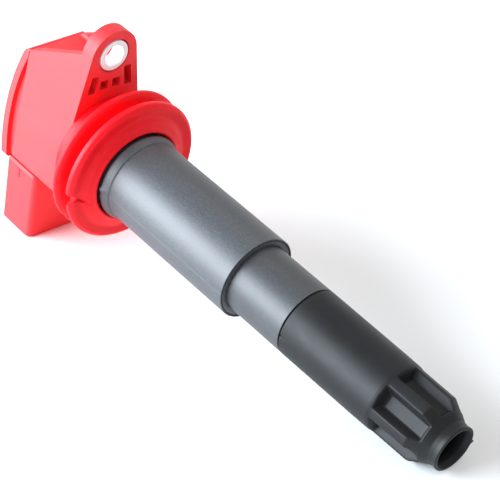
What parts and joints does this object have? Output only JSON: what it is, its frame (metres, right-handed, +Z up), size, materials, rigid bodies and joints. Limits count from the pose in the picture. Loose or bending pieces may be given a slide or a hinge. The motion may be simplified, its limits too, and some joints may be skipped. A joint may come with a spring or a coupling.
{
  "type": "ignition coil",
  "caption": "Pencil ignition coil with a bolt-on red head, double-lip well seal, grey barrel, black fluted plug boot and a sprung contact inside.",
  "frame": {"origin": "middle of the bottom of the object's box, on the floor it lies on", "axes": "+Z up; +X along the coil from its head to the plug end of its boot; +Y across it, so that the bolt ear points up. The barrel's axis lies in the XZ plane and dips 10.62 degrees towards +X, because the coil rests on its connector and its boot."},
  "size_m": [0.1632, 0.0426, 0.0691],
  "materials": {
    "red_plastic": "moulded, semi gloss",
    "red_silicone": "smooth satin silicone",
    "grey_plastic": "moulded, satin, faint speckle",
    "black_rubber": "smooth satin rubber",
    "plated_steel": "zinc plated, bright",
    "spring_steel": "drawn wire",
    "tinned_brass": "tin plated",
    "brass": "turned",
    "enamelled_copper": null,
    "core_steel": "laminated silicon steel",
    "magnet": "ground ferrite or rare earth",
    "spool_plastic": "glass filled, matt",
    "aluminium": "bright rolled",
    "ceramic": "ceramic, matt",
    "moulded_chip": "moulded package, matt",
    "potting_resin": "cast epoxy, glossy",
    "damper_rubber": "foam rubber"
  },
  "bodies": {
    "coil": {"head_housing": "red_plastic", "end_cover": "red_plastic", "mounting_bush": "plated_steel", "flange_seal": "red_silicone", "barrel_case": "grey_plastic", "tower_case": "grey_plastic", "plug_boot": "black_rubber", "connector_pin_1": "tinned_brass", "connector_pin_2": "tinned_brass", "connector_pin_3": "tinned_brass", "connector_pin_4": "tinned_brass", "heat_spreader": "aluminium", "driver_board": "ceramic", "power_transistor": "moulded_chip", "control_chip": "moulded_chip", "head_resin": "potting_resin", "primary_lead_supply": "enamelled_copper", "primary_lead_switched": "enamelled_copper", "top_resin": "potting_resin", "magnetic_core": "core_steel", "lower_core_magnet": "magnet", "upper_core_magnet": "magnet", "core_damper": "damper_rubber", "secondary_spool": "spool_plastic", "secondary_winding": "enamelled_copper", "primary_spool": "spool_plastic", "primary_winding": "enamelled_copper", "outer_core": "core_steel", "high_voltage_terminal": "brass", "suppression_resistor": "ceramic"},
    "contact": {"contact_cap": "brass", "contact_spring": "spring_steel"}
  },
  "joints": [
    {"name": "contact_travel", "type": "slide", "parent": "coil", "child": "contact", "axis": [-0.9829, 0, 0.1843], "range_m": [0, 0.004], "stiffness_N_per_m": 600, "springref_m": -0.005, "deforming": ["contact_spring"]}
  ]
}
